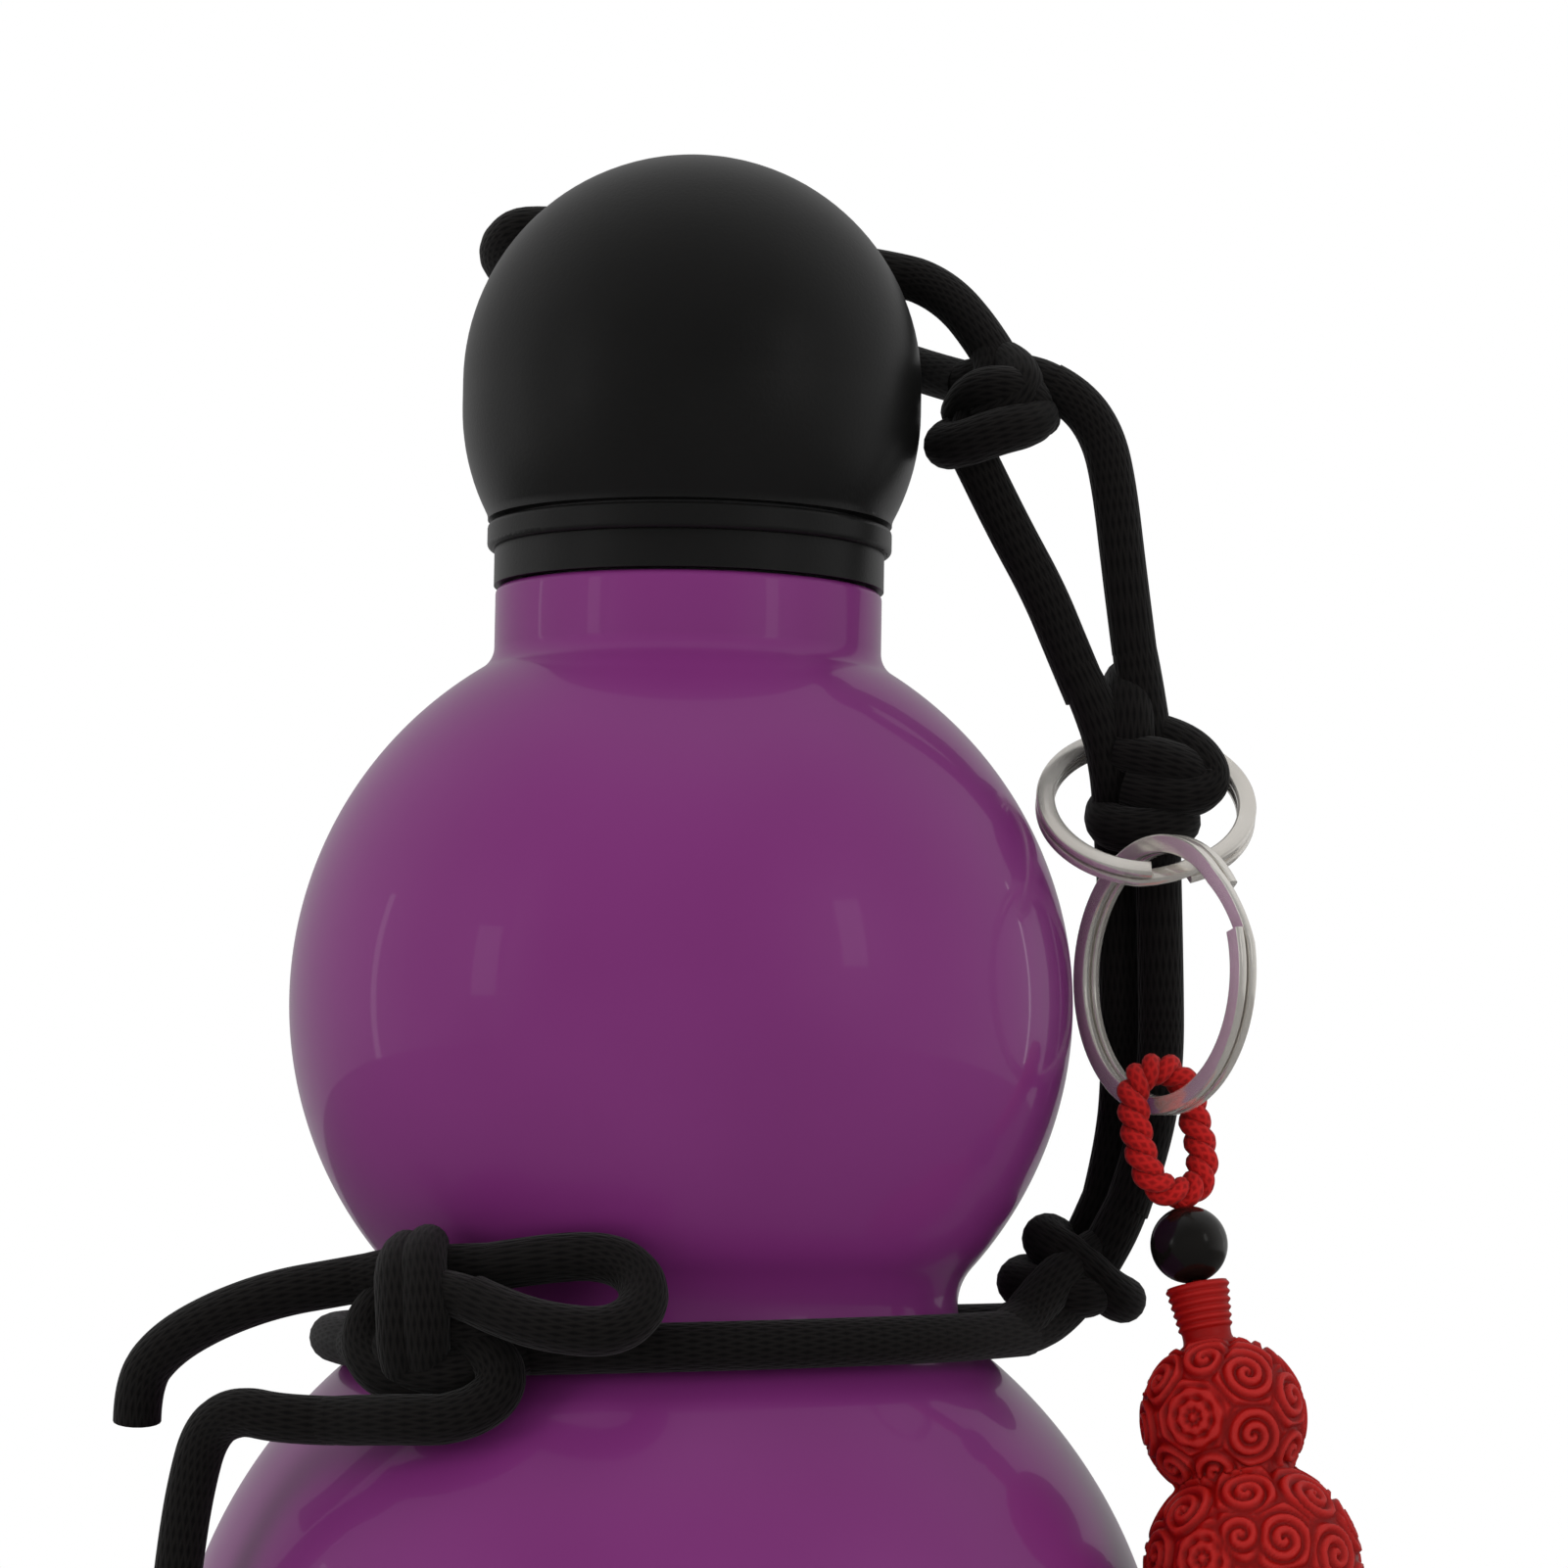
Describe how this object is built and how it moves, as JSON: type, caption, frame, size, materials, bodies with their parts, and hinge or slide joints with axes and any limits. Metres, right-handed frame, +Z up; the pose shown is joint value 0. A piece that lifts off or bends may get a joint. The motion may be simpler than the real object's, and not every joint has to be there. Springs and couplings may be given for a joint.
{
  "type": "gourd water bottle",
  "caption": "Double-walled gourd-shaped flask with a ball screw cap, a knotted black carrying cord, two split rings and a red charm with a bead and a small carved gourd.",
  "frame": {"origin": "middle of the foot, on the floor that the flask stands on", "axes": "+Z up along the flask's own axis through the cap; the front with the bow looks to -Y, and the side with the rings and the charm to +X"},
  "size_m": [0.13, 0.1074, 0.2112],
  "materials": {
    "purple_paint": "gloss",
    "steel": "satin",
    "solder": "dull",
    "foot_rubber": "matt",
    "black_plastic": "matt",
    "cup_plastic": "satin",
    "foam": "matt",
    "silicone": "satin",
    "black_cord": "braided",
    "ring_steel": "polished",
    "red_cord": "bound",
    "black_bead": "polished",
    "red_resin": "satin"
  },
  "bodies": {
    "flask": {"lower_shell": "purple_paint", "upper_shell": "purple_paint", "shell_collar": "purple_paint", "base_plate": "steel", "vacuum_plug": "solder", "getter_pan": "steel", "foot_pad": "foot_rubber", "lower_liner": "steel", "upper_liner": "steel", "throat_tube": "steel", "liner_base": "steel", "neck_ring": "steel", "waist_front": "black_cord", "waist_back": "black_cord", "bow_knot": "black_cord", "bow_loop": "black_cord", "end_short": "black_cord", "end_long": "black_cord", "knot_waist": "black_cord", "doubled_left": "black_cord", "doubled_right": "black_cord", "knot_ring": "black_cord", "strand_left": "black_cord", "strand_right": "black_cord"},
    "seal": {"mouth_seal": "silicone"},
    "cap": {"cap_shell": "black_plastic", "cap_band": "black_plastic", "cord_sleeve": "black_plastic", "cap_cup": "cup_plastic", "cap_foam": "foam", "stopper_foam": "foam", "stopper_cover": "steel", "cap_loop": "black_cord", "knot_cap": "black_cord"},
    "upper_ring": {"split_ring_upper": "ring_steel"},
    "lower_ring": {"split_ring_lower": "ring_steel"},
    "charm": {"charm_loop": "red_cord", "charm_string": "red_cord", "charm_end_knot": "red_cord"},
    "bead": {"charm_bead": "black_bead"},
    "pendant": {"carved_gourd": "red_resin"}
  },
  "joints": [
    {"name": "cap_rise", "type": "slide", "parent": "flask", "child": "seal", "axis": [0, 0, 1], "range_m": [0, 0.00701]},
    {"name": "cap_turn", "type": "hinge", "parent": "seal", "child": "cap", "pos_m": [0, 0, 0.17], "axis": [0, 0, 1], "range_deg": [0, 720], "deforming": ["strand_left", "strand_right"]},
    {"name": "upper_ring_swing", "type": "hinge", "parent": "flask", "child": "upper_ring", "pos_m": [0.05, 0.00511, 0.14828], "axis": [-1, 0, 0], "range_deg": [0, 40]},
    {"name": "lower_ring_swing", "type": "hinge", "parent": "upper_ring", "child": "lower_ring", "pos_m": [0.05, -0.01011, 0.13252], "axis": [-1, 0, 0], "range_deg": [0, 60]},
    {"name": "charm_swing", "type": "hinge", "parent": "lower_ring", "child": "charm", "pos_m": [0.0513, -0.01011, 0.10784], "axis": [0.515, -0.8572, 0], "range_deg": [0, 60]},
    {"name": "bead_spin", "type": "hinge", "parent": "charm", "child": "bead", "pos_m": [0.0513, -0.01011, 0.10784], "axis": [-0.187, 0.15, 0.9708], "continuous": true},
    {"name": "pendant_spin", "type": "hinge", "parent": "charm", "child": "pendant", "pos_m": [0.0513, -0.01011, 0.10784], "axis": [-0.187, 0.15, 0.9708], "continuous": true}
  ],
  "couplings": [
    {"joint": "cap_rise", "follows": "cap_turn", "m_per_rad": 0.00055704}
  ]
}
